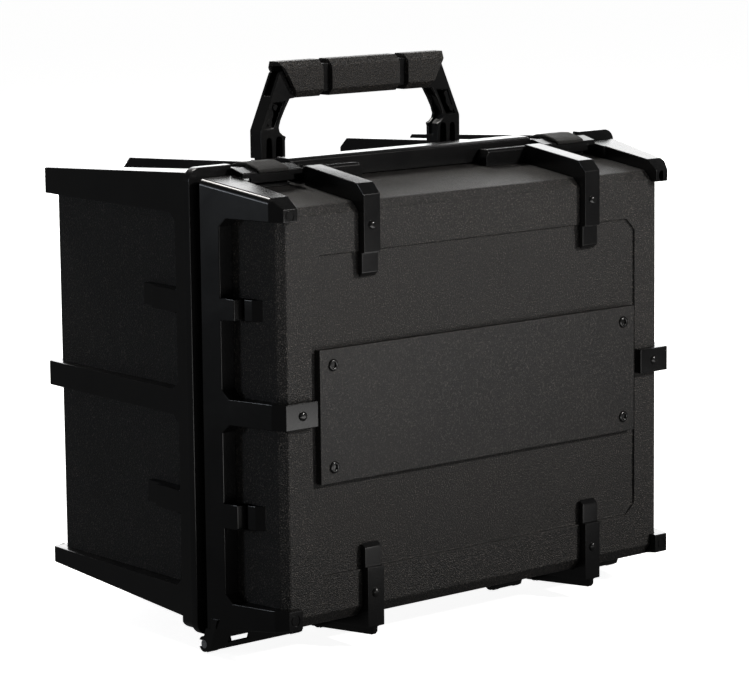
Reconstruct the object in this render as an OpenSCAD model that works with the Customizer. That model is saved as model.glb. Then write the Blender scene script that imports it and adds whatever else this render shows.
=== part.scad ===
// Carry case for miniatures: a deep base and a shallow lid that part along a vertical plane,
// a hinge along the bottom, two latches on top, a folding handle and foam trays inside.
// Frame: +X to the right, +Y to the back, +Z up, with the origin on the ground under the middle.

/* [Case] */
// Width over the rim
rim_w = 385; // [383:1:388]
// Height of the rim's underside above the ground
rim_bottom = 11; // [11:0.1:11.5]
// Height of the rim's top above the ground
rim_top = 318.5; // [317.5:0.5:320]
// Radius of the rim's corners
rim_r = 9; // [6:1:12]
// Place of the parting plane between lid and base
part_y = -57; // [-57:0.5:-56]
// Depth of the lid's sunk collar in front of the rim
lid_rim_d = 6; // [5.5:0.5:6.5]
// Depth of the rim round the base
base_rim_d = 6.5; // [6:0.5:7]
// Distance from the middle to the front and back of the bands
case_half_d = 129; // [128:0.5:130]
// How far the bands stand proud of the front and back faces
band_proud = 6; // [5:0.5:6.5]
// Wall of the two shells
wall = 3.5; // [3:0.5:4]

/* [Bands and straps] */
// Depth of the upright column in front of the lid's collar
lid_column_d = 16; // [14.5:0.5:17.5]
// Depth of the upright column behind the base's rim
base_column_d = 16.5; // [15:0.5:18]
// Distance of the corner bands' inner edge from the middle
band_in_x = 162; // [160:1:164]
// Distance of the middle bands' inner end from the middle
arm_in_x = 147; // [147:0.5:150]
// Lower edge of the top bands
top_band_z = 287.5; // [285:0.5:289]
// Upper edge of the bottom bands
bottom_band_z = 36.5; // [35:0.5:39]
// Lower edge of the middle bands
mid_band_z = 154; // [150:1:158]
// Height of the middle bands
mid_band_h = 17; // [14:1:20]
// Distance of each strap's middle from the case's middle
strap_x = 99.7; // [99:0.1:100]
// Width of a strap
strap_w = 14.2; // [12:0.2:15]
// Width of the ribs under the lid's straps
fin_w = 4; // [3:0.5:6]
// Width of the rails that the case stands on
foot_w = 8; // [6:0.5:12]

/* [Front panel] */
// Half the width of the sunk panel
panel_half_w = 146.8; // [145:0.2:147]
// Lower edge of the sunk panel
panel_z0 = 53.8; // [52:0.2:60]
// Upper edge of the sunk panel
panel_z1 = 263.2; // [258:0.2:265]
// Cut corner of the sunk panel
panel_cut = 8; // [5:0.5:12]
// Depth of the sunk panel
panel_d = 2; // [1:0.25:2]
// Half the width of the label plate
plate_half_w = 143; // [140:0.5:145]
// Lower edge of the label plate
plate_z0 = 114.8; // [112:0.2:118]
// Upper edge of the label plate
plate_z1 = 202.5; // [198:0.5:206]
// How far the label plate stands proud of the front face
plate_proud = 3.3; // [2:0.1:4]

/* [Latches] */
// Distance of each latch's middle from the case's middle
latch_x = 134.4; // [134.2:0.1:134.8]
// Half the width of a latch
latch_half_w = 25.2; // [24.5:0.1:25.4]
// Half the width of the raised thumb pad
pad_half_w = 12.6; // [11:0.1:14]
// Pivot of a latch, along Y
latch_pivot_y = -44; // [-44:0.1:-43.8]
// Pivot of a latch, above the ground
latch_pivot_z = 311.5; // [311.3:0.1:311.7]

/* [Handle] */
// Outer face of the handle's legs, from the middle
leg_out_x = 90.4; // [89:0.2:90.4]
// Inner face of the handle's legs, from the middle
leg_in_x = 69.3; // [69:0.1:70]
// Thickness of the legs
leg_t = 12; // [11:0.5:12]
// Half the thickness of the grip
grip_half_t = 9.5; // [8.5:0.25:9.5]
// Top of the grip
grip_top = 378; // [377:0.5:379]
// Underside of the grip
grip_bottom = 353; // [352:0.5:354]
// Pivot of the handle, along Y
handle_pivot_y = 3; // [2.5:0.25:3]
// Pivot of the handle, above the ground
handle_pivot_z = 306; // [305.8:0.1:306.4]

/* [Hinge] */
// Axis of the lid's hinge, along Y
hinge_y = -58.5; // [-58.5:0.1:-58]
// Axis of the lid's hinge, above the ground
hinge_z = 5.5; // [5.5:0.1:5.8]
// Radius of the hinge rods
rod_r = 2.8; // [2.6:0.05:2.8]

/* [Foam] */
// Thickness of one foam tray
tray_d = 54; // [50:1:54]
// Half the width of a foam tray
tray_half_w = 161; // [150:1:162]
// Foam left between and around the cells
tray_wall = 9; // [7:1:12]
// Lower edge of the foam
foam_z0 = 38.5; // [38:0.5:44]
// Upper edge of the foam
foam_z1 = 283.5; // [278:0.5:284]

/* [Hidden] */

$fn = 64;
eps = 0.01;
far = 500;
face_y = case_half_d - band_proud;
chamfer_d = 6;
end_chamfer_d = 2;
collar_inset = 8;
lid_column_y = part_y - lid_rim_d - lid_column_d;
base_column_y = part_y + base_rim_d + base_column_d;
latch_gap_x = latch_x + latch_half_w + 0.7;
rim_gap_x = 157.5;
neck_half_w = 22.6;
beam_half_w = latch_x - latch_half_w - 0.6;
beam_front_y = part_y - 1.5;
beam_back_y = -40;

// Half widths and heights of the drafted bodies at [parting plane, knee, end face]
lid_side = [177, 171.5, 167];
lid_top = [303.6, 295, 289];
lid_bottom = [16, 21.3, 29];
lid_over_side = [190.2, 178.4, 173.4];
lid_over_top = [313, 302.9, 295.8];
lid_over_bottom = [16.2, 22.4, 23.8];
base_side = [176.5, 168.5, 166.5];
base_top = [303.6, 294, 292];
base_bottom = [18.6, 27.9, 30];
base_over_side = [188.8, 175.2, 173.2];
base_over_top = [315.4, 305.3, 303.3];
base_over_bottom = [18.7, 28.2, 30.2];
over_knee_d = 9;

// Stubs that stand on the side walls beside the columns: [lower edge, upper edge]
lid_stubs = [[86, 102], [222, 236]];
base_stubs = [[89, 104], [222.3, 237]];
stub_step = 5;
stub_gap = 3.2;

// Small fills in the corners between the columns and the bands
gusset_y = 6;
gusset_z = 5.5;

panel_floor_y = -face_y + panel_d;
leg_front_y = -5;
bar_half_t = 6;
plate_rivet_x = 132;
plate_rivet_edge = 10.5;
strap_rivet_top_z = 280;
strap_rivet_bottom_z = 38;
arm_rivet_x = 160;
rivet_r = 3.1;
rivet_h = 1.8;

black_grained = "#1d1d1e";
black_smooth = "#141415";
black_foam = "#2a2a2c";
steel = "#b9bcc0";

function line_at(y, y0, v0, y1, v1) = v0 + (v1 - v0) * (y - y0) / (y1 - y0);
function lid_over_x(y) = line_at(y, part_y, lid_over_side[0], -case_half_d + over_knee_d, lid_over_side[1]);
function lid_side_x(y) = line_at(y, part_y, lid_side[0], -face_y + chamfer_d, lid_side[1]);
function base_over_x(y) =
    line_at(y, part_y, base_over_side[0], case_half_d - end_chamfer_d, base_over_side[1]);
function base_side_x(y) = line_at(y, part_y, base_side[0], face_y - end_chamfer_d, base_side[1]);

// An outline drawn in (Y, Z) is drawn out along X
module along_x(x0, x1) { translate([x0, 0, 0]) rotate([90, 0, 90]) linear_extrude(x1 - x0) children(); }

// An outline drawn in (X, Z) is drawn out along Y
module along_y(y0, y1) { translate([0, y1, 0]) rotate([90, 0, 0]) linear_extrude(y1 - y0) children(); }

// The same piece on the left as drawn, or mirrored to the right
module side(s) {
    if (s < 0) children();
    else mirror([1, 0, 0]) children();
}

module both_sides() {
    children();
    mirror([1, 0, 0]) children();
}

module box(p, q) { translate(p) cube(q - p); }

// A body with drafted sides, top and bottom, and chamfers round its end face
module drafted(y_rim, y_knee, y_face, side, top, bottom) {
    intersection() {
        along_x(-far, far) polygon([[y_rim, bottom[0]], [y_rim, top[0]], [y_knee, top[1]],
            [y_face, top[2]], [y_face, bottom[2]], [y_knee, bottom[1]]]);
        linear_extrude(far) polygon([[-side[0], y_rim], [side[0], y_rim], [side[1], y_knee],
            [side[2], y_face], [-side[2], y_face], [-side[1], y_knee]]);
    }
}

function shrink(v, t) = [for (a = v) a - t];

module lid_core() drafted(part_y, -face_y + chamfer_d, -face_y, lid_side, lid_top, lid_bottom);
module lid_over() drafted(part_y, -case_half_d + over_knee_d, -case_half_d,
    lid_over_side, lid_over_top, lid_over_bottom);
module base_core() drafted(part_y, face_y - end_chamfer_d, face_y, base_side, base_top, base_bottom);
module base_over() drafted(part_y, case_half_d - end_chamfer_d, case_half_d,
    base_over_side, base_over_top, base_over_bottom);

// Rim outline with round corners, in (X, Z), made smaller at the sides and at top and bottom
module rim_outline(inset_x = 0, inset_z = 0) {
    half = rim_w / 2 - inset_x;
    z0 = rim_bottom + inset_z;
    z1 = rim_top - inset_z;
    translate([-half, z0 + rim_r]) square([2 * half, z1 - z0 - 2 * rim_r]);
    translate([-half + rim_r, z0]) square([2 * half - 2 * rim_r, z1 - z0]);
    for (x = [-half + rim_r, half - rim_r], z = [z0 + rim_r, z1 - rim_r])
        translate([x, z]) circle(rim_r);
}

// Space above the shells between the outer ends of the two latches
module latch_space() {
    box([-rim_gap_x, -far, lid_top[1]], [rim_gap_x, far, far]);
    for (y = [[-far, part_y], [part_y + base_rim_d, far]])
        box([-latch_gap_x, y[0], lid_top[1]], [latch_gap_x, y[1], far]);
}

// Corner fills beside a column's edge, pointing away from the parting plane
module window_gussets(y, away, z_bottom) {
    for (z = [[z_bottom, 1], [mid_band_z, -1], [mid_band_z + mid_band_h, 1], [top_band_z, -1]])
        along_x(-far, far) polygon([[y - away, z[0]], [y + away * gusset_y, z[0]],
            [y, z[0] + z[1] * gusset_z], [y - away, z[0] + z[1] * gusset_z]]);
}

// Round mark that a mould's ejector leaves on a corner square
module ejector_mark(x, y, z) {
    translate([x, y, z]) rotate([90, 0, 0]) difference() {
        cylinder(h = 1, r = 3.7, center = true);
        cylinder(h = 2, r = 3, center = true);
    }
}

module dome_rivet(r, h) {
    // Spherical cap of base radius r and height h, standing on its XY plane
    ball = (r * r + h * h) / (2 * h);
    intersection() {
        translate([0, 0, h - ball]) sphere(ball);
        cylinder(h = h, r = r);
    }
}

module facing_front(x, y, z) { translate([x, y, z]) rotate([90, 0, 0]) children(); }
module facing_back(x, y, z) { translate([x, y, z]) rotate([-90, 0, 0]) children(); }

// Base

module base_shell() color(black_grained) {
    difference() {
        base_core();
        drafted(part_y - 1, face_y - end_chamfer_d - wall / 2, face_y - wall,
            shrink(base_side, wall), shrink(base_top, wall), shrink(base_bottom, -wall));
        along_y(face_y - panel_d, face_y + 1) panel_outline();
    }
}

module base_rim() color(black_smooth) {
    difference() {
        union() {
            along_y(part_y, part_y + base_rim_d) rim_outline();
            intersection() {
                base_over();
                union() {
                    box([-far, part_y + base_rim_d - eps, 0], [far, base_column_y, far]);
                    window_gussets(base_column_y, 1, bottom_band_z + 3);
                }
            }
            base_foot();
            both_sides() for (z = base_stubs)
                translate([0, 0, z[0]]) linear_extrude(z[1] - z[0]) base_stub();
        }
        base_core();
        latch_space();
    }
}

// Lower end of the base's columns and the sill between them
module base_foot() intersection() {
    along_y(part_y + base_rim_d - eps, base_column_y)
        rim_outline(rim_w / 2 - base_over_x(part_y + base_rim_d), 0.5);
    drafted(part_y, case_half_d - end_chamfer_d, case_half_d, base_over_side, base_over_top, [0, 0, 0]);
    box([-far, -far, 0], [far, far, bottom_band_z]);
}

// Plan of a stub beside the base's column
module base_stub() {
    y0 = base_column_y - 1;
    y1 = base_column_y + 29.5;
    y2 = base_column_y + 46;
    polygon([[-base_over_x(y0), y0], [-base_over_x(y1), y1], [-base_over_x(y1) + stub_step, y1],
        [-base_over_x(y2) + stub_step, y2], [-base_side_x(y2), y2], [-base_side_x(y0), y0]]);
}

// A band of the base: what lies between the shell and the outer form, inside one height range
module base_band(s, z0, z1, x_in) {
    side(s) intersection() {
        difference() {
            base_over();
            base_core();
        }
        box([-far, base_column_y, z0], [-x_in, far, z1]);
    }
}

module base_top_band(s) color(black_smooth) difference() {
    base_band(s, top_band_z, far, band_in_x);
    side(s) ejector_mark(-band_in_x - 4.5, case_half_d, top_band_z + 5.5);
}

module base_mid_band(s) color(black_smooth)
    base_band(s, mid_band_z, mid_band_z + mid_band_h, arm_in_x);

module base_bottom_band(s) color(black_smooth) difference() {
    base_band(s, 0, bottom_band_z + 3, band_in_x);
    side(s) ejector_mark(-band_in_x - 4.5, case_half_d, bottom_band_z - 1);
}

module base_top_strap(s) color(black_smooth) side(s) difference() {
    along_x(-strap_x - strap_w / 2, -strap_x + strap_w / 2) polygon([[beam_back_y, 314.8],
        [case_half_d - 7.5, 307.4], [case_half_d, 300.5], [case_half_d, 262], [case_half_d - 2.5, 262],
        [case_half_d - 2.5, 249], [face_y, 246], [face_y - 20, 246], [beam_back_y, 290]]);
    base_core();
}

module base_foot_strap(s) color(black_smooth) side(s) {
    difference() {
        union() {
            along_x(-strap_x - strap_w / 2, -strap_x + strap_w / 2) polygon([[base_column_y - 7, 13.5],
                [case_half_d - 4, 21], [case_half_d, 25], [case_half_d, 55], [case_half_d - 2.5, 55],
                [case_half_d - 2.5, 68], [face_y, 71], [face_y - 20, 71], [base_column_y - 7, 40]]);
            along_x(-strap_x - foot_w / 2, -strap_x + foot_w / 2) polygon([[base_column_y - 7, 16],
                [base_column_y - 7, 2], [base_column_y - 5, 0], [case_half_d - 12, 0],
                [case_half_d - 6, 6], [case_half_d - 6, 30]]);
        }
        base_core();
        base_foot();
        box([-far, -far, 0], [far, base_column_y - 4, far]);
    }
}

module base_strap_rivets() color(black_smooth) both_sides() {
    for (z = [strap_rivet_top_z, strap_rivet_bottom_z])
        facing_back(-strap_x, case_half_d, z) dome_rivet(rivet_r, rivet_h);
    facing_back(-arm_rivet_x, case_half_d, mid_band_z + mid_band_h / 2) dome_rivet(rivet_r, rivet_h);
}

// Wall between the latches that the lid closes against
module top_beam() color(black_smooth) difference() {
    along_x(-beam_half_w, beam_half_w) polygon([[beam_front_y, 304.4], [beam_front_y, 317.1],
        [part_y + 2, 318.6], [beam_back_y - 3, 318.6], [beam_back_y, 315.6], [beam_back_y, 290],
        [part_y + 0.2, 290], [part_y + 0.2, 304.4]]);
    base_core();
}

// Latches. Lengths along X are counted from a latch's own middle

module latch_bracket(s) color(black_smooth) side(s) difference() {
    translate([-latch_x, 0, 0]) {
        along_x(-latch_half_w + 0.4, latch_half_w - 0.4) polygon([[part_y + base_rim_d, 290],
            [part_y + base_rim_d, 306], [-37, 306], [-37, 290]]);
        for (x = [-latch_half_w + 0.4, latch_half_w - 5.4])
            along_x(x, x + 5) difference() {
                union() {
                    translate([latch_pivot_y, latch_pivot_z]) circle(3.8);
                    translate([latch_pivot_y - 3.8, 300]) square([7.6, latch_pivot_z - 300]);
                }
                translate([latch_pivot_y, latch_pivot_z]) circle(1.55);
            }
    }
    base_core();
}

module latch_pins() color(steel) both_sides() translate([-latch_x, 0, 0])
    along_x(-latch_half_w + 0.4, latch_half_w - 0.4) translate([latch_pivot_y, latch_pivot_z]) circle(1.5);

// Blade of a latch, in (Y, Z), from its back edge to its front lip
module latch_blade(y_back, lip_z) {
    polygon([[y_back, 315.9], [-60, 316.4], [-71.1, 313.6], [-71.1, lip_z], [-68.7, lip_z],
        [-68.7, 311], [-60, 313.4], [y_back, 313.1]]);
}

module latch_lever(s) color(black_smooth) side(s) translate([-latch_x, 0, 0]) {
    knuckle_half_w = latch_half_w - 6;
    difference() {
        along_x(-latch_half_w, latch_half_w) latch_blade(latch_pivot_y - 4.6, 310);
        for (x = [[-far, -neck_half_w], [neck_half_w, far]])
            box([x[0], part_y - 2.5, 300], [x[1], latch_pivot_y, far]);
    }
    along_x(-latch_half_w + 7, latch_half_w - 7) latch_blade(latch_pivot_y - 4.6, 306.5);
    along_x(-knuckle_half_w, knuckle_half_w) difference() {
        union() {
            polygon([[latch_pivot_y - 4.7, 315.9], [latch_pivot_y, 315.5], [latch_pivot_y, 311],
                [latch_pivot_y - 3, 311], [latch_pivot_y - 4.7, 313.1]]);
            translate([latch_pivot_y, latch_pivot_z]) circle(4);
        }
        translate([latch_pivot_y, latch_pivot_z]) circle(1.6);
    }
}

module latch_pad(s) color(black_grained) side(s) translate([-latch_x, 0, 0])
    along_x(-pad_half_w, pad_half_w) polygon([[latch_pivot_y, 315.6], [latch_pivot_y, 317],
        [-50, 318.8], [-58, 319.1], [-68, 316.9], [-72.3, 315], [-72.3, 312.8], [-71.1, 312.8],
        [-71.1, 313.6], [-60, 316.4], [latch_pivot_y - 4.6, 315.9]]);

module latch_strikes() color(black_smooth) both_sides() difference() {
    translate([-latch_x, 0, 0]) along_x(-18, 18) polygon([[-66.5, 290], [-66.5, 305.2], [-65.9, 305.8],
        [part_y - 2, 305.8], [part_y - 2, 290]]);
    lid_core();
}

// Handle

module handle_bracket(s) color(black_smooth) side(s) difference() {
    union() {
        for (x = [-leg_out_x - 0.2, -leg_in_x - 2.4])
            along_x(x, x + 3) {
                translate([handle_pivot_y, handle_pivot_z]) circle(6.5);
                translate([handle_pivot_y - 6.5, 290]) square([13, handle_pivot_z - 290]);
            }
        box([-leg_out_x - 0.2, handle_pivot_y - 9.5, 290], [-leg_in_x + 0.6, handle_pivot_y - 6.2, 313.2]);
    }
    base_core();
    along_x(-far, far) translate([handle_pivot_y, handle_pivot_z]) circle(3.05);
}

module handle_pins() color(steel) both_sides() along_x(-leg_out_x - 0.2, -leg_in_x + 0.6)
    translate([handle_pivot_y, handle_pivot_z]) circle(3);

// Outline of one leg and the corner that it meets the grip with, in (X, Z)
module leg_outline() {
    polygon([[-leg_out_x, 313.4], [-leg_in_x, 313.4], [-leg_in_x, 324.8], [-68.5, 327.2],
        [-71.5, 328.6], [-73.8, 330.6], [-74.6, 333.5], [-73, 338.5], [-69.5, 345], [-64.8, 352.5],
        [-60.2, 352.9], [-71.2, 372], [-73.5, 370], [-leg_out_x, 332.3]]);
}

// Sunk window on the front of a leg, and the deeper part along its inner side
module leg_window() { polygon([[-79, 350.5], [-68.8, 351.2], [-78.1, 333], [-86, 333.6]]); }
module leg_window_deep() { polygon([[-74.4, 350.2], [-69.6, 350.6], [-78.6, 334], [-82.2, 334.2]]); }

// Channel along the inner side of a leg, and the short slot on its outer side under the grip
module leg_channel() {
    polygon([[-60, 319], [-leg_in_x - 2, 319], [-leg_in_x - 2, 326.4], [-75.6, 330.4], [-77.4, 334],
        [-67.8, 352], [-60, 352]]);
}
module leg_outer_slot() { polygon([[-84, 355], [-76.3, 355], [-69.6, 370], [-84, 378]]); }

module leg_slot(x, r) {
    translate([x - r, 310]) square([2 * r, 15]);
    translate([x, 325]) circle(r);
}

module handle_frame() color(black_smooth) {
    both_sides() {
        difference() {
            along_y(leg_front_y, leg_front_y + leg_t) leg_outline();
            along_y(leg_front_y - 1, leg_front_y + 1.2) difference() {
                leg_window();
                for (p = [[-77.4, 347.4], [-82.6, 337.4]]) translate(p) circle(2);
            }
            along_y(leg_front_y - 1, leg_front_y + 2.6) leg_window_deep();
            along_y(leg_front_y - 1, leg_front_y + 8) {
                leg_slot(-83.4, 2.3);
                leg_slot(-74.7, 2.7);
            }
            along_y(leg_front_y + 3, leg_front_y + leg_t - 2.6) leg_channel();
            along_y(leg_front_y + 2.5, leg_front_y + leg_t - 2.5) leg_outer_slot();
        }
        along_x(-leg_out_x + 3.4, -leg_in_x - 3.1) difference() {
            union() {
                translate([handle_pivot_y, handle_pivot_z]) circle(5.2);
                translate([handle_pivot_y - 5.2, handle_pivot_z])
                    square([leg_front_y + leg_t - handle_pivot_y + 5.2, 313.5 - handle_pivot_z]);
            }
            translate([handle_pivot_y, handle_pivot_z]) circle(3.08);
        }
    }
    along_x(-64, 64) polygon([[-bar_half_t, grip_bottom + 3], [-bar_half_t, grip_top - 3],
        [bar_half_t, grip_top - 3], [bar_half_t, grip_bottom + 3]]);
}

// Eight-sided section of the grip round the handle's bar, in (Y, Z)
module grip_section() {
    difference() {
        polygon([[-grip_half_t, grip_bottom + 4.8], [-grip_half_t, grip_top - 5],
            [-grip_half_t + 5, grip_top], [grip_half_t - 5, grip_top], [grip_half_t, grip_top - 5],
            [grip_half_t, grip_bottom + 4.8], [grip_half_t - 4.8, grip_bottom],
            [-grip_half_t + 4.8, grip_bottom]]);
        translate([-bar_half_t, grip_bottom + 3]) square([2 * bar_half_t, grip_top - grip_bottom - 6]);
    }
}

module handle_grip_centre() color(black_grained) along_x(-30.6, 30.6) grip_section();

module handle_grip_end(s) color(black_grained) side(s) difference() {
    intersection() {
        along_x(-80, -38.6) grip_section();
        along_y(-far, far) polygon([[-38.6, grip_bottom - 1], [-38.6, grip_top + 1],
            [-75.1, grip_top + 1], [-59.4, grip_bottom - 1]]);
    }
    along_y(leg_front_y, leg_front_y + leg_t) leg_outline();
}

// Hinge

// Outline, in (Y, Z), of the slanted plate that hangs under the lid in front of the hinge pins
module hinge_plate() { polygon([[-73, 24], [-64.6, 1.9], [-61.6, 0.8], [-70, 24]]); }

// Outline of the cheek that joins the plate to a hook
module hinge_cheek() {
    polygon([[-73, 24], [-64.6, 1.9], [-61.5, 0.4], [-61.5, 2], [-64.2, 5.5], [-61.5, 9.2],
        [-58.6, 11], [-60.5, 16.2], [-64, 17.5], [-64, 24]]);
}

// Outline of a hook round the hinge pin, open towards the back
module hinge_hook() {
    difference() {
        union() {
            translate([hinge_y, hinge_z]) circle(5.3);
            polygon([[-64.4, 10.4], [-64.4, 2.5], [-61, 1], [-61, 10.4]]);
            polygon([[-61, 8], [-61, 11.2], [-58.4, 11], [-55.2, 9], [-55.4, 7.9]]);
        }
        translate([hinge_y, hinge_z]) circle(rod_r + 0.08);
        translate([hinge_y + 0.6, hinge_z - 2.3]) square([10, 4.6]);
    }
}

module lid_hinge(s) color(black_smooth) side(s) difference() {
    union() {
        for (x = [[-188.5, -110], [-92, -67]]) along_x(x[0], x[1]) hinge_plate();
        for (x = [[-188.5, -180], [-118, -110], [-92, -86.5], [-72.5, -67]]) along_x(x[0], x[1]) {
            hinge_cheek();
            hinge_hook();
        }
    }
    lid_core();
    lid_over();
    box([-far, part_y - lid_rim_d, lid_over_bottom[0] + 1], [far, far, far]);
    box([-174.5, -far, 5.5], [-156.5, far, 9.7]);
    for (x = [[-179.9, -169.2], [-137.3, -118.2], [-86.1, -72.9]]) along_x(x[0], x[1])
        translate([hinge_y, hinge_z]) circle(5.7);
}

module base_hinge(s) color(black_smooth) side(s) difference() {
    for (x = [[-179.6, -169.5], [-137, -118.8], [-85.7, -73.3]]) along_x(x[0], x[1]) {
        translate([hinge_y, hinge_z]) circle(5.3);
        polygon([[-57, rim_bottom], [-51, rim_bottom], [-51, 8], [-55, 2.2], [-57.2, 6]]);
    }
    along_x(-far, far) translate([hinge_y, hinge_z]) circle(rod_r + 0.05);
}

module hinge_rods() color(steel) both_sides()
    for (x = [[-188.5, -168], [-140, -108], [-93, -66]]) along_x(x[0], x[1])
        translate([hinge_y, hinge_z]) circle(rod_r);

// Foam

// One tray of foam with two rows of four cells, open to the front
module foam_tray(i) color(black_foam) {
    y1 = face_y - wall - 0.5 - i * tray_d;
    y0 = y1 - tray_d;
    cell_w = (2 * tray_half_w - 5 * tray_wall) / 4;
    cell_h = (foam_z1 - foam_z0 - 3 * tray_wall) / 2;
    difference() {
        box([-tray_half_w, y0, foam_z0], [tray_half_w, y1, foam_z1]);
        for (c = [0:3], r = [0:1]) {
            x = -tray_half_w + tray_wall + c * (cell_w + tray_wall);
            z = foam_z0 + tray_wall + r * (cell_h + tray_wall);
            box([x, y0 - 1, z], [x + cell_w, y1 - tray_wall, z + cell_h]);
        }
    }
}

module lid_foam_pad() color(black_foam)
    box([-tray_half_w, -face_y + wall + 0.5, foam_z0], [tray_half_w, -face_y + wall + 30.5, foam_z1]);

// Lid

// Sunk eight-sided panel, in (X, Z)
module panel_outline() {
    w = panel_half_w;
    c = panel_cut;
    polygon([[-w, panel_z0 + c], [-w, panel_z1 - c], [-w + c, panel_z1], [w - c, panel_z1],
        [w, panel_z1 - c], [w, panel_z0 + c], [w - c, panel_z0], [-w + c, panel_z0]]);
}

module lid_shell() color(black_grained) difference() {
    lid_core();
    drafted(part_y + 1, -face_y + chamfer_d + wall / 2, -face_y + wall,
        shrink(lid_side, wall), shrink(lid_top, wall), shrink(lid_bottom, -wall));
    along_y(-face_y - 1, panel_floor_y) panel_outline();
}

module lid_rim() color(black_smooth) difference() {
    union() {
        along_y(part_y - lid_rim_d, part_y) rim_outline(collar_inset, collar_inset);
        intersection() {
            lid_over();
            union() {
                box([-far, lid_column_y, 0], [far, part_y - lid_rim_d + eps, far]);
                window_gussets(lid_column_y, -1, bottom_band_z);
            }
        }
        both_sides() for (z = lid_stubs) translate([0, 0, z[0]]) linear_extrude(z[1] - z[0]) lid_stub();
    }
    lid_core();
    latch_space();
}

// Plan of a stub beside the lid's column
module lid_stub() {
    y0 = lid_column_y + 1;
    y1 = lid_column_y - 11.5;
    y2 = lid_column_y - 21.5;
    y3 = lid_column_y - 27;
    y_gap = y1 - stub_gap;
    polygon([[-lid_over_x(y0), y0], [-lid_over_x(y1), y1], [-lid_side_x(y1) - 1, y1],
        [-lid_side_x(y_gap) - 1, y_gap], [-lid_over_x(y_gap) + stub_step, y_gap],
        [-lid_over_x(y2) + stub_step, y2], [-lid_side_x(y3), y3], [-lid_side_x(y0), y0]]);
}

// A band of the lid: what lies between the shell and the outer form, inside one height range
module lid_band(s, z0, z1, x_in) {
    side(s) intersection() {
        difference() {
            lid_over();
            lid_core();
        }
        box([-far, -far, z0], [-x_in, lid_column_y, z1]);
    }
}

module lid_top_band(s) color(black_smooth) difference() {
    lid_band(s, top_band_z, far, band_in_x);
    side(s) ejector_mark(-band_in_x - 6.2, -case_half_d, top_band_z + 4.1);
}

module lid_mid_band(s) color(black_smooth)
    lid_band(s, mid_band_z, mid_band_z + mid_band_h, arm_in_x);

module lid_bottom_band(s) color(black_smooth) difference() {
    lid_band(s, 0, bottom_band_z, band_in_x);
    side(s) ejector_mark(-band_in_x - 6.2, -case_half_d, bottom_band_z - 6.5);
}

module lid_top_strap(s) color(black_smooth) side(s) difference() {
    along_x(-strap_x - strap_w / 2, -strap_x + strap_w / 2) polygon([[-69.5, 314.8],
        [-case_half_d + 6.5, 307.1], [-case_half_d, 300.1], [-case_half_d, 262.1],
        [-case_half_d + 2.5, 262.1], [-case_half_d + 2.5, 248.9], [-face_y, 246], [-face_y + 20, 246],
        [-69.5, 290]]);
    lid_core();
}

module lid_bottom_strap(s) color(black_smooth) side(s) {
    rim_end = part_y - lid_rim_d - 0.5;
    difference() {
        union() {
            along_x(-strap_x - strap_w / 2, -strap_x + strap_w / 2) polygon([[rim_end, 10],
                [-case_half_d, 15], [-case_half_d, 55], [-case_half_d + 2.5, 55],
                [-case_half_d + 2.5, 67.8], [-face_y, 71], [-face_y + 20, 71], [rim_end, 40]]);
            along_x(-strap_x - fin_w / 2, -strap_x + fin_w / 2) polygon([[rim_end, 11], [rim_end, 4],
                [-case_half_d + 3, 9], [-case_half_d + 1, 11], [-case_half_d + 1, 20]]);
        }
        lid_core();
    }
}

module lid_strap_rivets() color(black_smooth) both_sides() {
    for (z = [strap_rivet_top_z, strap_rivet_bottom_z])
        facing_front(-strap_x, -case_half_d, z) dome_rivet(rivet_r, rivet_h);
    facing_front(-arm_rivet_x, -case_half_d, mid_band_z + mid_band_h / 2) dome_rivet(rivet_r, rivet_h);
}

module label_plate() color(black_smooth)
    box([-plate_half_w, -face_y - plate_proud, plate_z0], [plate_half_w, panel_floor_y, plate_z1]);

module label_plate_rivets() color(black_smooth)
    for (x = [-plate_rivet_x, plate_rivet_x], z = [plate_z0 + plate_rivet_edge, plate_z1 - plate_rivet_edge])
        facing_front(x, -face_y - plate_proud, z) difference() {
            dome_rivet(4, 1.8);
            translate([0, 0, 0.9]) cylinder(h = 2, r = 1.5);
        }

module lid_top_blocks() color(black_smooth) both_sides() difference() {
    intersection() {
        along_x(-102, -56) polygon([[-69.5, 290], [-69.5, 312], [-68, 313.6], [beam_front_y - 1.2, 313.6],
            [beam_front_y - 1.2, 290]]);
        along_y(-far, far) polygon([[-102, 290], [-102, 311.6], [-100, 313.6], [-59, 313.6], [-56, 308],
            [-56, 290]]);
    }
    lid_core();
}

base_shell();
base_rim();
base_top_band(-1);  // base_top_band_left
base_top_band(1);  // base_top_band_right
base_mid_band(-1);  // base_mid_band_left
base_mid_band(1);  // base_mid_band_right
base_bottom_band(-1);  // base_bottom_band_left
base_bottom_band(1);  // base_bottom_band_right
base_top_strap(-1);  // base_top_strap_left
base_top_strap(1);  // base_top_strap_right
base_foot_strap(-1);  // base_foot_strap_left
base_foot_strap(1);  // base_foot_strap_right
base_strap_rivets();
top_beam();
latch_bracket(-1);  // latch_bracket_left
latch_bracket(1);  // latch_bracket_right
latch_pins();
handle_bracket(-1);  // handle_bracket_left
handle_bracket(1);  // handle_bracket_right
handle_pins();
base_hinge(-1);  // base_hinge_left
base_hinge(1);  // base_hinge_right
hinge_rods();
foam_tray(2);  // foam_tray_front
foam_tray(1);  // foam_tray_middle
foam_tray(0);  // foam_tray_back
lid_shell();
lid_rim();
lid_top_band(-1);  // lid_top_band_left
lid_top_band(1);  // lid_top_band_right
lid_mid_band(-1);  // lid_mid_band_left
lid_mid_band(1);  // lid_mid_band_right
lid_bottom_band(-1);  // lid_bottom_band_left
lid_bottom_band(1);  // lid_bottom_band_right
lid_top_strap(-1);  // lid_top_strap_left
lid_top_strap(1);  // lid_top_strap_right
lid_bottom_strap(-1);  // lid_bottom_strap_left
lid_bottom_strap(1);  // lid_bottom_strap_right
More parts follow.
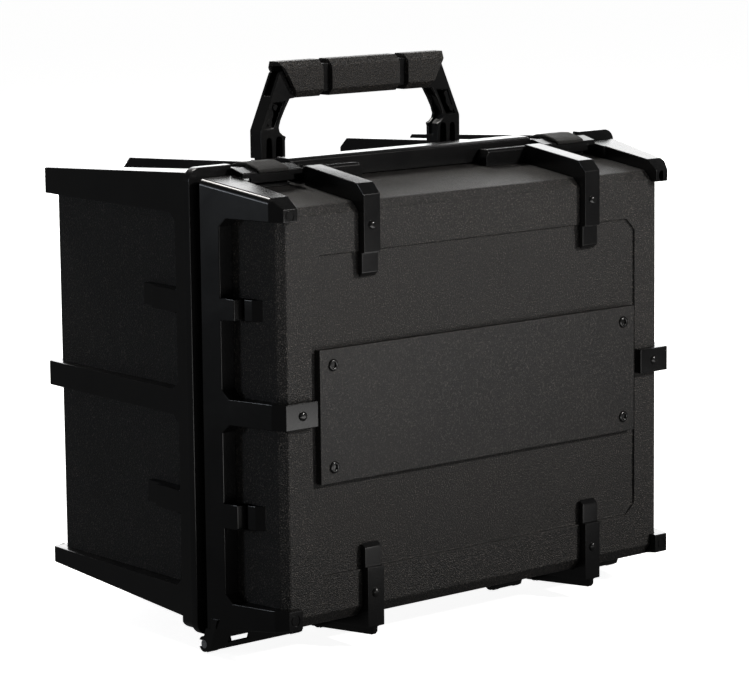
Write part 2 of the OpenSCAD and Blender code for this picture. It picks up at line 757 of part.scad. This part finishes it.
lid_strap_rivets();
label_plate();
label_plate_rivets();
lid_top_blocks();
latch_strikes();
lid_hinge(-1);  // lid_hinge_left
lid_hinge(1);  // lid_hinge_right
lid_foam_pad();
latch_lever(-1);  // latch_lever_left
latch_pad(-1);  // latch_pad_left
latch_lever(1);  // latch_lever_right
latch_pad(1);  // latch_pad_right
handle_frame();
handle_grip_end(-1);  // handle_grip_left
handle_grip_centre();
handle_grip_end(1);  // handle_grip_right
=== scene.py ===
import math

import bmesh
import bpy
from mathutils import Matrix, Vector


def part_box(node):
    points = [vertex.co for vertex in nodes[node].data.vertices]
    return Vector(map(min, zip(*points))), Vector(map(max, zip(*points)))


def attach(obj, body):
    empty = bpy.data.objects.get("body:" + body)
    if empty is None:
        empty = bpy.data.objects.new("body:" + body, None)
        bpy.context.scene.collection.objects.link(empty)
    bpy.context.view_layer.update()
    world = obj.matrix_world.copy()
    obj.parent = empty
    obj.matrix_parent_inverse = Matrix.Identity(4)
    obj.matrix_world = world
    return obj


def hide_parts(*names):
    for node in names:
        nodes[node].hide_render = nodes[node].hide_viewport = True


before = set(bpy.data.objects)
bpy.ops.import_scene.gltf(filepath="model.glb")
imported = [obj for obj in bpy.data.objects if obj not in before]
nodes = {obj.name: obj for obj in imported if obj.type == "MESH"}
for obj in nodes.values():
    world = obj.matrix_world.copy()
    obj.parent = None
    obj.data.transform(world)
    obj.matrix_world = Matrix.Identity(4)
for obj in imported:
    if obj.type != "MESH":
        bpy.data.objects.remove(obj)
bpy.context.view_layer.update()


# Shells
# The deep base and the shallow lid are two drafted boxes with a 3.5 mm wall. They are injection-moulded
# in black polypropylene, in a mould with a spark-eroded grain, so they look matt with a fine sparkle,
# part of which is painted as paler tips on the grain.
def linear(hex_colour):
    """An sRGB hex colour as linear red, green, blue and alpha."""
    parts = [int(hex_colour[i:i + 2], 16) / 255 for i in (1, 3, 5)]
    return [c / 12.92 if c <= 0.04045 else ((c + 0.055) / 1.055) ** 2.4 for c in parts] + [1]


def add(tree, kind, values=None, links=None, **settings):
    """A shader node with its settings, its input values and the outputs linked into it."""
    node = tree.nodes.new(kind)
    for key, value in settings.items():
        setattr(node, key, value)
    for key, value in (values or {}).items():
        node.inputs[key].default_value = value
    for key, output in (links or {}).items():
        tree.links.new(output, node.inputs[key])
    return node


def new_finish(name):
    """A new material of that name, with its node tree, its shader and its Object coordinates."""
    material = bpy.data.materials.new(name)
    material.use_nodes = True
    tree = material.node_tree
    place = add(tree, "ShaderNodeTexCoord").outputs["Object"]
    return material, tree, tree.nodes["Principled BSDF"], place


plastic_ior = 1.49


def spark_eroded(name, colour, worn_colour, tip_wear_and_glint_colour, rough_from, rough_to, grain_depth):
    """Polypropylene from a spark-eroded mould: a grain 1 mm across, with paler tips that are partly rubbed
    wear and partly painted glints.
    """
    material, tree, shader, place = new_finish(name)
    shader.inputs["IOR"].default_value = plastic_ior
    # The real grain is about 0.3 mm across. It is drawn three times as large, or it would not show.
    pits = add(tree, "ShaderNodeTexNoise", {"Scale": 1050, "Detail": 1.5, "Roughness": 0.7},
               {"Vector": place})
    patches = add(tree, "ShaderNodeTexNoise", {"Scale": 16, "Detail": 3, "Roughness": 0.55},
                  {"Vector": place})
    tint = add(tree, "ShaderNodeValToRGB", links={"Fac": patches.outputs["Fac"]})
    tint.color_ramp.elements[0].position = 0.35
    tint.color_ramp.elements[0].color = linear(colour)
    tint.color_ramp.elements[1].position = 0.75
    tint.color_ramp.elements[1].color = linear(worn_colour)
    # The tips of the grain are painted paler: partly rubbed wear, partly painted glints where the grain
    # would catch the light.
    tip_wear_and_glint_mask = add(tree, "ShaderNodeMapRange", {"From Min": 0.55, "From Max": 0.72},
               {"Value": pits.outputs["Fac"]})
    with_tip_wear_and_glints = add(tree, "ShaderNodeMixRGB", {"Color2": linear(tip_wear_and_glint_colour)},
                 {"Fac": tip_wear_and_glint_mask.outputs["Result"], "Color1": tint.outputs["Color"]})
    sparkle = add(tree, "ShaderNodeMix", {"Factor": 0.6}, {
        "A": patches.outputs["Fac"], "B": pits.outputs["Fac"]})
    rough = add(tree, "ShaderNodeMapRange", {"From Min": 0.3, "From Max": 0.7, "To Min": rough_from,
                                             "To Max": rough_to}, {"Value": sparkle.outputs["Result"]})
    bump = add(tree, "ShaderNodeBump", {"Strength": 1.0, "Distance": grain_depth},
               {"Height": pits.outputs["Fac"]})
    tree.links.new(with_tip_wear_and_glints.outputs["Color"], shader.inputs["Base Color"])
    tree.links.new(rough.outputs["Result"], shader.inputs["Roughness"])
    tree.links.new(bump.outputs["Normal"], shader.inputs["Normal"])
    return material


# The walls, and their edges, which handling has rubbed smoother and paler. The paler edge colour is also a
# painted highlight along each rounded edge.
shell_grain = spark_eroded("polypropylene_spark_eroded", "#0e0e0e", "#151413", "#65605b",
                           0.41, 0.64, 0.0010)
shell_edge_wear_and_highlight = spark_eroded("polypropylene_spark_eroded_edge_wear_and_painted_highlight", "#161616", "#1c1b1a", "#4a4744",
                          0.36, 0.50, 0.0005)


def only(piece):
    """That piece alone is selected and active."""
    bpy.ops.object.select_all(action="DESELECT")
    piece.select_set(True)
    bpy.context.view_layer.objects.active = piece


def merge_and_flatten(piece, flat=True):
    """Its doubles are merged and, when flat is set, the triangles of each flat face become one face."""
    only(piece)
    bpy.ops.object.mode_set(mode="EDIT")
    bpy.ops.mesh.select_all(action="SELECT")
    bpy.ops.mesh.remove_doubles(threshold=0.000002)
    if flat:
        bpy.ops.mesh.dissolve_limited(angle_limit=math.radians(0.5))
    bpy.ops.object.mode_set(mode="OBJECT")


def copy_of(node, name, flat=True):
    """A copy of a CAD node's mesh, merged, to be finished by hand."""
    piece = bpy.data.objects.new(name, nodes[node].data.copy())
    bpy.context.scene.collection.objects.link(piece)
    only(piece)
    bpy.ops.mesh.customdata_custom_splitnormals_clear()
    merge_and_flatten(piece, flat)
    return piece


def bevel_where(piece, width, segments, chosen, inner_mark=0, clamp=False):
    """The edges for which chosen says yes are rounded, and the new faces take material slot inner_mark.
    With clamp, the rounding stops where it would cross a neighbour's."""
    only(piece)
    bpy.ops.object.mode_set(mode="EDIT")
    bpy.ops.mesh.select_mode(type="EDGE")
    bpy.ops.mesh.select_all(action="DESELECT")
    mesh = bmesh.from_edit_mesh(piece.data)
    for edge in mesh.edges:
        edge.select = len(edge.link_faces) == 2 and chosen(edge)
    bmesh.update_edit_mesh(piece.data)
    bpy.ops.mesh.bevel(offset=width, segments=segments, profile=0.5, affect="EDGES", clamp_overlap=clamp,
                       material=inner_mark)
    bpy.ops.object.mode_set(mode="OBJECT")


shortest_corner = 0.00045


def sharp(edge, least=12):
    """A real corner of at least that many degrees, and no short step of a round one."""
    return edge.calc_face_angle(0) > math.radians(least) and edge.calc_length() > shortest_corner


smooth_below = math.radians(40)


def finish_piece(piece, body, materials, replaced):
    """Materials, shading and its place in the assembly."""
    only(piece)
    piece.data.materials.clear()
    for material in materials:
        piece.data.materials.append(material)
    bpy.ops.object.shade_smooth_by_angle(angle=smooth_below)
    weighted = piece.modifiers.new("even_normals", "WEIGHTED_NORMAL")
    weighted.keep_sharp = True
    bpy.ops.object.modifier_apply(modifier=weighted.name)
    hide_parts(*replaced)
    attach(piece, body)


shell_edge_r = 0.0009
panel_edge_r = 0.0006
lid_front_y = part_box("lid_shell")[0][1]
panel_reach_y = 0.0018
panel_reach_x = 0.158
panel_bottom_z, panel_top_z = 0.035, 0.272


def on_the_panel(edge):
    """An edge of the shallow sunk panel in the front of the lid, which is crisper than the others."""
    return all(v.co.y < lid_front_y + panel_reach_y and abs(v.co.x) < panel_reach_x
               and panel_bottom_z < v.co.z < panel_top_z for v in edge.verts)


for node, body in (("base_shell", "base"), ("lid_shell", "lid")):
    shell = copy_of(node, node + "_moulding")
    bevel_where(shell, shell_edge_r, 3, lambda edge: sharp(edge) and not on_the_panel(edge), 1)
    bevel_where(shell, panel_edge_r, 2, lambda edge: sharp(edge, 40) and on_the_panel(edge), 1)
    finish_piece(shell, body, [shell_grain, shell_edge_wear_and_highlight], [node])


# Rims, columns and bands
# Each half has one frame round it, moulded with the rim, the upright columns and the bands in one piece.
# It is smooth black polypropylene from a polished mould, so it is satin, with flow marks and rub marks.
def polished_mould(name, colour, rubbed_colour, rough_from, rough_to):
    """Polypropylene from a polished mould: cloudy flow marks, faint rub marks and a slight orange peel."""
    material, tree, shader, place = new_finish(name)
    shader.inputs["IOR"].default_value = plastic_ior
    clouds = add(tree, "ShaderNodeTexNoise", {"Scale": 28, "Detail": 4, "Roughness": 0.6, "Distortion": 0.6},
                 {"Vector": place})
    stretched = add(tree, "ShaderNodeMapping", {"Scale": (260, 90, 520)}, {"Vector": place})
    rubs = add(tree, "ShaderNodeTexNoise", {"Scale": 1, "Detail": 3, "Roughness": 0.7},
               {"Vector": stretched.outputs["Vector"]})
    # The orange peel of a polished mould is 3 mm across.
    peel = add(tree, "ShaderNodeTexNoise", {"Scale": 330, "Detail": 1}, {"Vector": place})
    marks = add(tree, "ShaderNodeMix", {"Factor": 0.3},
                {"A": clouds.outputs["Fac"], "B": rubs.outputs["Fac"]})
    rough = add(tree, "ShaderNodeMapRange", {"From Min": 0.2, "From Max": 0.8, "To Min": rough_from,
                                             "To Max": rough_to}, {"Value": marks.outputs["Result"]})
    tint = add(tree, "ShaderNodeValToRGB", links={"Fac": marks.outputs["Result"]})
    tint.color_ramp.elements[0].position = 0.35
    tint.color_ramp.elements[0].color = linear(colour)
    tint.color_ramp.elements[1].position = 0.7
    tint.color_ramp.elements[1].color = linear(rubbed_colour)
    bump = add(tree, "ShaderNodeBump", {"Strength": 0.10, "Distance": 0.00004},
               {"Height": peel.outputs["Fac"]})
    tree.links.new(tint.outputs["Color"], shader.inputs["Base Color"])
    tree.links.new(rough.outputs["Result"], shader.inputs["Roughness"])
    tree.links.new(bump.outputs["Normal"], shader.inputs["Normal"])
    return material


satin = polished_mould("polypropylene_polished_mould", "#0d0d0e", "#121212", 0.19, 0.29)
# This paler finish goes on the rounded edges: partly rubbed wear, partly a painted highlight along each
# edge.
satin_edge_wear_and_highlight = polished_mould("polypropylene_polished_mould_rubbed", "#19191a", "#1f1f1f", 0.17, 0.26)

frame_fillet_r = 0.004
frame_edge_r = 0.0006
fillet_above_z = 0.29
fillet_beyond_x = 0.17
fillet_before_y = -0.0625
fillet_least_length = 0.02


def under_the_fillet(edge):
    """The long edge between the top and the side of the lid's frame. The base's frame has none of it."""
    top, side = sorted(edge.link_faces, key=lambda face: abs(face.normal.x))
    return (top.normal.z > 0.6 and abs(side.normal.x) > 0.6 and abs(side.normal.z) < 0.3
            and min(v.co.z for v in edge.verts) > fillet_above_z
            and min(abs(v.co.x) for v in edge.verts) > fillet_beyond_x
            and max(v.co.y for v in edge.verts) < fillet_before_y
            and edge.calc_length() > fillet_least_length)


for body in ("base", "lid"):
    parts = [f"{body}_rim"] + [f"{body}_{level}_band_{side}" for level in ("top", "mid", "bottom")
                               for side in ("left", "right")]
    moulding = copy_of(parts[0], f"{body}_frame_moulding", False)
    for part in parts[1:]:
        band = copy_of(part, part + "_blank", False)
        only(moulding)
        joined = moulding.modifiers.new("one_moulding", "BOOLEAN")
        joined.operation = "UNION"
        joined.solver = "MANIFOLD"
        joined.object = band
        bpy.ops.object.modifier_apply(modifier=joined.name)
        bpy.data.objects.remove(band)
    merge_and_flatten(moulding)
    bevel_where(moulding, frame_fillet_r, 6, under_the_fillet)
    bevel_where(moulding, frame_edge_r, 2, sharp, 1)
    finish_piece(moulding, body, [satin, satin_edge_wear_and_highlight], parts)


# Straps, beam, blocks and strikes
# Ribs of the same satin polypropylene that stiffen the shells, the beam that the lid closes against,
# the low blocks in front of it and the ledges that the latches close over. Their edges are just broken.
rib_edge_r = 0.0007
ribs = {"base": ["base_top_strap_left", "base_top_strap_right", "base_foot_strap_left",
                 "base_foot_strap_right", "top_beam"],
        "lid": ["lid_top_strap_left", "lid_top_strap_right", "lid_bottom_strap_left",
                "lid_bottom_strap_right", "lid_top_blocks", "latch_strikes"]}
for body, names in ribs.items():
    for node in names:
        rib = copy_of(node, node + "_moulding")
        bevel_where(rib, rib_edge_r, 2, sharp, 1)
        finish_piece(rib, body, [satin, satin_edge_wear_and_highlight], [node])


# Label plate
# A flat plate of polypropylene, held on the lid by four ring-headed rivets. Its grain is shallower than
# that of the shells, so it's satin. An owner's label would be stuck on it, and it stays blank.
plate_grain = spark_eroded("polypropylene_spark_eroded_fine", "#101010", "#171615", "#4a4643",
                           0.38, 0.54, 0.0005)
plate_edge_r = 0.0005
plate = copy_of("label_plate", "label_plate_moulding")
bevel_where(plate, plate_edge_r, 2, sharp, 1)
finish_piece(plate, "lid", [plate_grain, satin_edge_wear_and_highlight], ["label_plate"])


# Rivets
# Black nylon rivets with a domed head, 6.2 mm across, hold the straps and bands. Those of the label
# plate are hollow, with a rolled ring. They are pressed in from outside, so only their heads show.
nylon = polished_mould("nylon_moulded_rivet", "#121212", "#1a1a1a", 0.16, 0.28)
disc_height = 0.0006
bore_ring = (0.0001, -0.0011)


def rivet_head(radius, rings, hollow):
    """A head made from a disc: each ring is (inset, rise) of its top face in turn, and hollow sinks it."""
    bpy.ops.object.select_all(action="DESELECT")
    bpy.ops.mesh.primitive_cylinder_add(vertices=40, radius=radius, depth=disc_height,
                                        location=(0, 0, disc_height / 2))
    head = bpy.context.object
    bpy.ops.object.mode_set(mode="EDIT")
    bpy.ops.mesh.select_mode(type="FACE")
    for inset, rise in rings + ([bore_ring] if hollow else []):
        bpy.ops.mesh.select_all(action="DESELECT")
        mesh = bmesh.from_edit_mesh(head.data)
        level = [f for f in mesh.faces
                 if f.normal.z > 0.99 and f.calc_center_median().xy.length < radius / 4]
        top = max(level, key=lambda f: f.calc_center_median().z)
        top.select = True
        bmesh.update_edit_mesh(head.data)
        bpy.ops.mesh.inset(thickness=inset, depth=0)
        bpy.ops.transform.translate(value=(0, 0, rise))
    bpy.ops.object.mode_set(mode="OBJECT")
    bpy.ops.object.transform_apply(location=True, rotation=True, scale=True)
    return head


def set_rivets(name, head, places, turn, body, node, material):
    """One copy of the head at each place, turned to face out of the wall, joined to one piece."""
    copies = []
    for place in places:
        rivet = bpy.data.objects.new(name, head.data.copy())
        bpy.context.scene.collection.objects.link(rivet)
        rivet.data.transform(Matrix.Translation(place) @ turn)
        copies.append(rivet)
    only(copies[0])
    for rivet in copies[1:]:
        rivet.select_set(True)
    bpy.ops.object.join()
    finish_piece(copies[0], body, [material], [node])


domed_r = 0.0031
dome_rings = [(0.00035, 0.0004), (0.0005, 0.00035), (0.0007, 0.00025), (0.0008, 0.00012)]
domed = rivet_head(domed_r, dome_rings, False)
to_front = Matrix.Rotation(math.radians(90), 4, "X")
to_back = Matrix.Rotation(math.radians(-90), 4, "X")
strap_x = 0.0997
strap_top_z, strap_foot_z = 0.280, 0.038
strap_places = [(x, z) for x in (-strap_x, strap_x) for z in (strap_top_z, strap_foot_z)]
mid_band_x, mid_band_z = 0.160, 0.1625
arm_places = [(x, mid_band_z) for x in (-mid_band_x, mid_band_x)]
band_front_y, band_back_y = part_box("lid_mid_band_left")[0][1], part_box("base_mid_band_left")[1][1]
set_rivets("lid_strap_rivet_heads", domed, [(x, band_front_y, z) for x, z in strap_places + arm_places],
           to_front, "lid", "lid_strap_rivets", nylon)
set_rivets("base_strap_rivet_heads", domed, [(x, band_back_y, z) for x, z in strap_places + arm_places],
           to_back, "base", "base_strap_rivets", nylon)
bpy.data.objects.remove(domed)

ringed_r = 0.004
rolled_rings = [(0.0004, 0.0006), (0.0006, 0.0003), (0.0008, 0.0), (0.0003, -0.0002)]
ringed = rivet_head(ringed_r, rolled_rings, True)
plate_low, plate_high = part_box("label_plate")
plate_rivet_x = 0.132
plate_rivet_inset = 0.0105
set_rivets("label_plate_rivet_heads", ringed,
           [(x, plate_low[1], z) for x in (-plate_rivet_x, plate_rivet_x)
            for z in (plate_low[2] + plate_rivet_inset, plate_high[2] - plate_rivet_inset)],
           to_front, "lid", "label_plate_rivets", nylon)
bpy.data.objects.remove(ringed)


# Latches
# Two sprung levers that turn on steel pins and snap over the lid's ledges. The lever is satin
# polypropylene, and the raised pad that the thumb lifts is grained like the shells, but darker and duller.
pad_grain = spark_eroded("polypropylene_spark_eroded_pad", "#0a0a09", "#11100f", "#403c37",
                         0.58, 0.78, 0.0009)
lever_edge_r = 0.0005
thumb_pad_edge_r = 0.0008
bracket_edge_r = 0.0004
for side in ("left", "right"):
    lever = copy_of(f"latch_lever_{side}", f"latch_lever_{side}_moulding")
    bevel_where(lever, lever_edge_r, 2, sharp, 1)
    finish_piece(lever, f"latch_{side}", [satin, satin_edge_wear_and_highlight], [f"latch_lever_{side}"])
    pad = copy_of(f"latch_pad_{side}", f"latch_pad_{side}_moulding")
    bevel_where(pad, thumb_pad_edge_r, 3, sharp, 1)
    finish_piece(pad, f"latch_{side}", [pad_grain, shell_edge_wear_and_highlight], [f"latch_pad_{side}"])
    bracket = copy_of(f"latch_bracket_{side}", f"latch_bracket_{side}_moulding")
    bevel_where(bracket, bracket_edge_r, 2, sharp, 1)
    finish_piece(bracket, "base", [satin, satin_edge_wear_and_highlight], [f"latch_bracket_{side}"])


# Handle
# Two cranked legs and a bar, moulded in one piece of satin polypropylene, that fold back on steel pins.
# Three sleeves of soft thermoplastic rubber are moulded over the bar, eight-sided with rounded corners.
handle_edge_r = 0.0005
handle_least_length = 0.0025
handle = copy_of("handle_frame", "handle_frame_moulding")
bevel_where(handle, handle_edge_r, 2,
            lambda edge: sharp(edge, 20) and edge.calc_length() > handle_least_length, 1)
finish_piece(handle, "handle", [satin, satin_edge_wear_and_highlight], ["handle_frame"])
for side in ("left", "right"):
    bracket = copy_of(f"handle_bracket_{side}", f"handle_bracket_{side}_moulding")
    bevel_where(bracket, bracket_edge_r, 2, sharp, 1)
    finish_piece(bracket, "base", [satin, satin_edge_wear_and_highlight], [f"handle_bracket_{side}"])

soft_touch = spark_eroded("thermoplastic_rubber_overmoulded", "#0d0c0b", "#131110", "#5c554e",
                          0.42, 0.62, 0.0011)
# This paler finish goes on the rounded edges of the sleeves: partly rubbed wear, partly a painted highlight
# along each edge.
soft_touch_edge_wear_and_highlight = spark_eroded("thermoplastic_rubber_overmoulded_rubbed", "#181615", "#201e1c", "#6a635b",
                               0.40, 0.52, 0.0008)


sleeve_edge_r = 0.0006
sleeve_least_length = 0.004


def along_the_grip(edge):
    """A corner of the eight-sided section, which runs along the bar."""
    a, b = (v.co for v in edge.verts)
    return sharp(edge) and abs((a - b).normalized().x) > 0.6 and edge.calc_length() > sleeve_least_length


for node in ("handle_grip_left", "handle_grip_centre", "handle_grip_right"):
    sleeve = copy_of(node, node + "_sleeve")
    bevel_where(sleeve, sleeve_edge_r, 2, along_the_grip, 1)
    finish_piece(sleeve, "handle", [soft_touch, soft_touch_edge_wear_and_highlight], [node])


# Hinge
# The lid carries slanted plates with open hooks, and the base carries knuckles between them. They are
# satin polypropylene, and snap round six short pins cut from drawn steel rod.
hinge_edge_r = 0.0003
for side in ("left", "right"):
    for node, body in ((f"lid_hinge_{side}", "lid"), (f"base_hinge_{side}", "base")):
        hinge = copy_of(node, node + "_moulding")
        bevel_where(hinge, hinge_edge_r, 2, lambda edge: sharp(edge, 25), 1, True)
        finish_piece(hinge, body, [satin, satin_edge_wear_and_highlight], [node])


# Pins
# Drawn mild steel rod, cut to length and left bare. Drawing leaves fine scores along the rod, 0.2 mm
# apart. The pins stay the CAD's own cylinders.
drawn_steel, tree, shader, place = new_finish("mild_steel_drawn")
shader.inputs["Metallic"].default_value = 1.0
along_rod = add(tree, "ShaderNodeMapping", {"Scale": (60, 4200, 4200)}, {"Vector": place})
scores = add(tree, "ShaderNodeTexNoise", {"Scale": 1, "Detail": 3, "Roughness": 0.6},
             {"Vector": along_rod.outputs["Vector"]})
tint = add(tree, "ShaderNodeValToRGB", links={"Fac": scores.outputs["Fac"]})
tint.color_ramp.elements[0].position = 0.3
tint.color_ramp.elements[0].color = linear("#a9acb0")
tint.color_ramp.elements[1].position = 0.7
tint.color_ramp.elements[1].color = linear("#d3d5d8")
rough = add(tree, "ShaderNodeMapRange", {"From Min": 0.3, "From Max": 0.7, "To Min": 0.22, "To Max": 0.42},
            {"Value": scores.outputs["Fac"]})
bump = add(tree, "ShaderNodeBump", {"Strength": 0.25, "Distance": 0.00003},
           {"Height": scores.outputs["Fac"]})
tree.links.new(tint.outputs["Color"], shader.inputs["Base Color"])
tree.links.new(rough.outputs["Result"], shader.inputs["Roughness"])
tree.links.new(bump.outputs["Normal"], shader.inputs["Normal"])
for node in ("hinge_rods", "latch_pins", "handle_pins"):
    nodes[node].data.materials.clear()
    nodes[node].data.materials.append(drawn_steel)


# Foam
# Dark grey open-cell polyurethane, 54 mm trays with eight knife-cut cells glued to a thin back, and a
# plain pad in the lid. Cut foam has open pores about 0.6 mm wide, and its faces are a little uneven.
foam, tree, shader, place = new_finish("polyurethane_foam_open_cell")
shader.inputs["IOR"].default_value = 1.45
shader.inputs["Specular IOR Level"].default_value = 0.2
# Pores are drawn 1.1 mm apart, twice the real spacing, so that they show.
pores = add(tree, "ShaderNodeTexVoronoi", {"Scale": 900, "Randomness": 1}, {"Vector": place},
            feature="F1")
mottle = add(tree, "ShaderNodeTexNoise", {"Scale": 45, "Detail": 4, "Roughness": 0.6},
             {"Vector": place})
# Each pore is painted darker towards its hollow middle as painted shade in the pit, and this is mixed with a
# random mottle of tone.
depth = add(tree, "ShaderNodeMapRange", {"From Min": 0.0, "From Max": 0.7, "To Min": 1.0, "To Max": 0.0},
            {"Value": pores.outputs["Distance"]})
pore_shade_and_mottle = add(tree, "ShaderNodeMix", {"Factor": 0.3},
            {"A": depth.outputs["Result"], "B": mottle.outputs["Fac"]})
tint = add(tree, "ShaderNodeValToRGB", links={"Fac": pore_shade_and_mottle.outputs["Result"]})
tint.color_ramp.elements[0].position = 0.25
tint.color_ramp.elements[0].color = linear("#3b3b3d")
tint.color_ramp.elements[1].position = 0.8
tint.color_ramp.elements[1].color = linear("#202022")
rough = add(tree, "ShaderNodeMapRange", {"From Min": 0.3, "From Max": 0.7, "To Min": 0.86, "To Max": 1.0},
            {"Value": mottle.outputs["Fac"]})
bump = add(tree, "ShaderNodeBump", {"Strength": 0.8, "Distance": 0.0004},
           {"Height": pores.outputs["Distance"]})
tree.links.new(tint.outputs["Color"], shader.inputs["Base Color"])
tree.links.new(rough.outputs["Result"], shader.inputs["Roughness"])
tree.links.new(bump.outputs["Normal"], shader.inputs["Normal"])

ripple = bpy.data.textures.new("foam_ripple", "CLOUDS")
ripple.noise_scale = 0.035
foam_voxel = 0.0022
tray_ripple = 0.0006
pad_ripple = 0.0012
pad_corner_r = 0.004


def soften(piece, node, body, strength):
    """The cut block gets a fine mesh, worn corners and faces that dip in a slow ripple."""
    only(piece)
    # Its flat many-sided faces are split into small ones before the fine mesh is made.
    bpy.ops.object.mode_set(mode="EDIT")
    bpy.ops.mesh.select_all(action="SELECT")
    bpy.ops.mesh.quads_convert_to_tris()
    bpy.ops.mesh.tris_convert_to_quads(face_threshold=math.radians(1), shape_threshold=math.radians(180))
    bpy.ops.object.mode_set(mode="OBJECT")
    fine = piece.modifiers.new("fine", "REMESH")
    fine.mode = "VOXEL"
    fine.voxel_size = foam_voxel
    fine.adaptivity = 0.0
    bpy.ops.object.modifier_apply(modifier=fine.name)
    worn = piece.modifiers.new("worn", "SMOOTH")
    worn.factor = 0.5
    worn.iterations = 2
    bpy.ops.object.modifier_apply(modifier=worn.name)
    uneven = piece.modifiers.new("uneven", "DISPLACE")
    uneven.texture = ripple
    uneven.texture_coords = "LOCAL"
    uneven.strength = strength
    uneven.mid_level = 1.0
    bpy.ops.object.modifier_apply(modifier=uneven.name)
    piece.data.materials.clear()
    piece.data.materials.append(foam)
    bpy.ops.object.shade_smooth()
    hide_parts(node)
    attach(piece, body)


for level in ("front", "middle", "back"):
    tray = copy_of(f"foam_tray_{level}", f"foam_tray_{level}_cut")
    soften(tray, f"foam_tray_{level}", "base", tray_ripple)
pad = copy_of("lid_foam_pad", "lid_foam_pad_cut")
bevel_where(pad, pad_corner_r, 3, sharp)
soften(pad, "lid_foam_pad", "lid", pad_ripple)


# Floor
# A white sweep of matt painted board that the case stands on, one plane. It glows a little, so that it
# reads as white right up to the horizon, and reflections and scattered light don't see it.
bpy.ops.object.select_all(action="DESELECT")
bpy.ops.mesh.primitive_plane_add(size=60, location=(0, 0, 0))
floor = bpy.context.object
floor.name = "floor"
board, tree, shader, place = new_finish("painted_board_matt")
speckle = add(tree, "ShaderNodeTexNoise", {"Scale": 2, "Detail": 2}, {"Vector": place})
tint = add(tree, "ShaderNodeValToRGB", links={"Fac": speckle.outputs["Fac"]})
tint.color_ramp.elements[0].color = linear("#f4f4f3")
tint.color_ramp.elements[1].color = linear("#f8f8f7")
tree.links.new(tint.outputs["Color"], shader.inputs["Base Color"])
shader.inputs["Roughness"].default_value = 0.9
shader.inputs["Specular IOR Level"].default_value = 0.1
shader.inputs["Emission Color"].default_value = linear("#ffffff")
shader.inputs["Emission Strength"].default_value = 0.93
floor.data.materials.append(board)
floor.visible_glossy = False
floor.visible_diffuse = False


# Light
# Soft studio light: a big white wall of light behind, which shines off every upward face, a warm box at
# the right, a lit card on the floor before the lid, a weak cool box at the left, and one overhead.
def soft_box(name, place, aim, size, power, colour=(1, 1, 1)):
    """An oblong area light at that place, turned to the aim."""
    data = bpy.data.lights.new(name, "AREA")
    data.shape = "RECTANGLE"
    data.size, data.size_y = size
    data.energy = power
    data.color = colour
    light = bpy.data.objects.new(name, data)
    bpy.context.scene.collection.objects.link(light)
    light.location = place
    light.rotation_euler = (Vector(aim) - Vector(place)).to_track_quat("-Z", "Y").to_euler()
    light.visible_camera = False


soft_box("wall_behind", (1.9, 2.2, 0.95), (0, 0, 0.3), (3.6, 2.0), 72)
soft_box("box_front", (0.8, -1.75, 1.15), (-0.05, 0, 0.2), (0.25, 0.25), 25, (1, 0.97, 0.94))
soft_box("card_front", (0.0, -1.0, 0.004), (0.0, -1.0, 1), (1.0, 1.1), 9, (1, 0.985, 0.97))
soft_box("box_left", (-2.0, 0.9, 0.5), (-0.15, 0, 0.3), (0.3, 0.3), 4, (0.86, 0.92, 1))
soft_box("box_overhead", (0.0, 1.2, 2.2), (0, 0, 0), (0.7, 0.7), 32, (1, 0.97, 0.93))

# The world is a faint white fill, and is plain white where the camera sees it.
studio = bpy.data.worlds.new("studio")
bpy.context.scene.world = studio
studio.use_nodes = True
tree = studio.node_tree
tree.nodes.clear()
dim = add(tree, "ShaderNodeBackground", {"Color": (1, 1, 1, 1), "Strength": 0.06})
white = add(tree, "ShaderNodeBackground", {"Color": (1, 1, 1, 1), "Strength": 1.0})
seen = add(tree, "ShaderNodeLightPath").outputs["Is Camera Ray"]
either = add(tree, "ShaderNodeMixShader", links={0: seen, 1: dim.outputs[0], 2: white.outputs[0]})
add(tree, "ShaderNodeOutputWorld", links={"Surface": either.outputs[0]})
# The standard view keeps the white of the floor.
bpy.context.scene.view_settings.view_transform = "Standard"


# Camera
# A long lens from the front left, held a little above the case and looking slightly down. It is turned
# round the case by the first angle, raised by the second and rolled by the third.
camera_data = bpy.data.cameras.new("camera")
camera_data.sensor_width = 36
camera_data.lens = 154.9
camera_data.clip_end = 80
camera = bpy.data.objects.new("camera", camera_data)
bpy.context.scene.collection.objects.link(camera)
round_by, height_by, roll_by = math.radians(-40.9), math.radians(8.78), math.radians(-0.62)
back = Vector((math.sin(round_by) * math.cos(height_by), -math.cos(round_by) * math.cos(height_by),
               math.sin(height_by)))
level_right = Vector((math.cos(round_by), math.sin(round_by), 0))
level_up = back.cross(level_right)
right = level_right * math.cos(roll_by) + level_up * math.sin(roll_by)
up = level_up * math.cos(roll_by) - level_right * math.sin(roll_by)
stand_x, stand_y, stand_z = -1.4484, -1.6869, 0.5253
camera.matrix_world = Matrix(((right.x, up.x, back.x, stand_x), (right.y, up.y, back.y, stand_y),
                              (right.z, up.z, back.z, stand_z), (0, 0, 0, 1)))
bpy.context.scene.camera = camera
